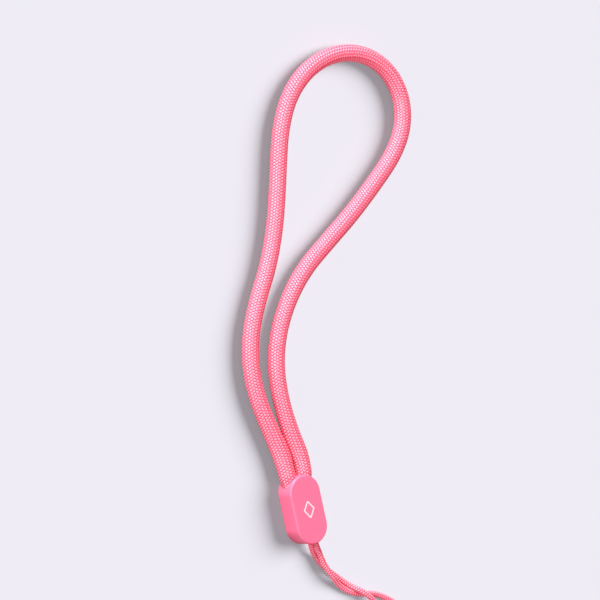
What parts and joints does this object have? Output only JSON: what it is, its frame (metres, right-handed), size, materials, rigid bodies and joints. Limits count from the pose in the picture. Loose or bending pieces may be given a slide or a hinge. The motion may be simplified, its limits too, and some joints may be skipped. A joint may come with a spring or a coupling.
{
  "type": "wrist strap",
  "caption": "Braided wrist strap: a thick soft loop gripped by a small moulded stopper, with a thin hitch loop for hanging a phone, camera or other small device.",
  "frame": {"origin": "centre of the stopper's back face, which lies on the surface", "axes": "+Y along the stopper towards the wrist loop, +Z out of the stopper's front face, +X to the right seen from the front"},
  "size_m": [0.0896, 0.2075, 0.0075],
  "materials": {
    "stopper_plastic": "satin moulded plastic",
    "crimp_metal": "bare",
    "wrist_braid": "braided polyester",
    "core_yarn": "undyed bulked yarn",
    "hitch_braid": "fine braided polyester",
    "mark_ink": "printed ink"
  },
  "bodies": {
    "root": {"stopper_body": "stopper_plastic", "back_plate": "stopper_plastic", "cord_crimp": "crimp_metal", "wrist_cord_end_left": "wrist_braid", "wrist_cord_end_right": "wrist_braid", "wrist_cord": "wrist_braid", "wrist_cord_core": "core_yarn", "hitch_cord": "hitch_braid", "hitch_cord_knot": "hitch_braid", "printed_mark": "mark_ink"}
  },
  "joints": []
}
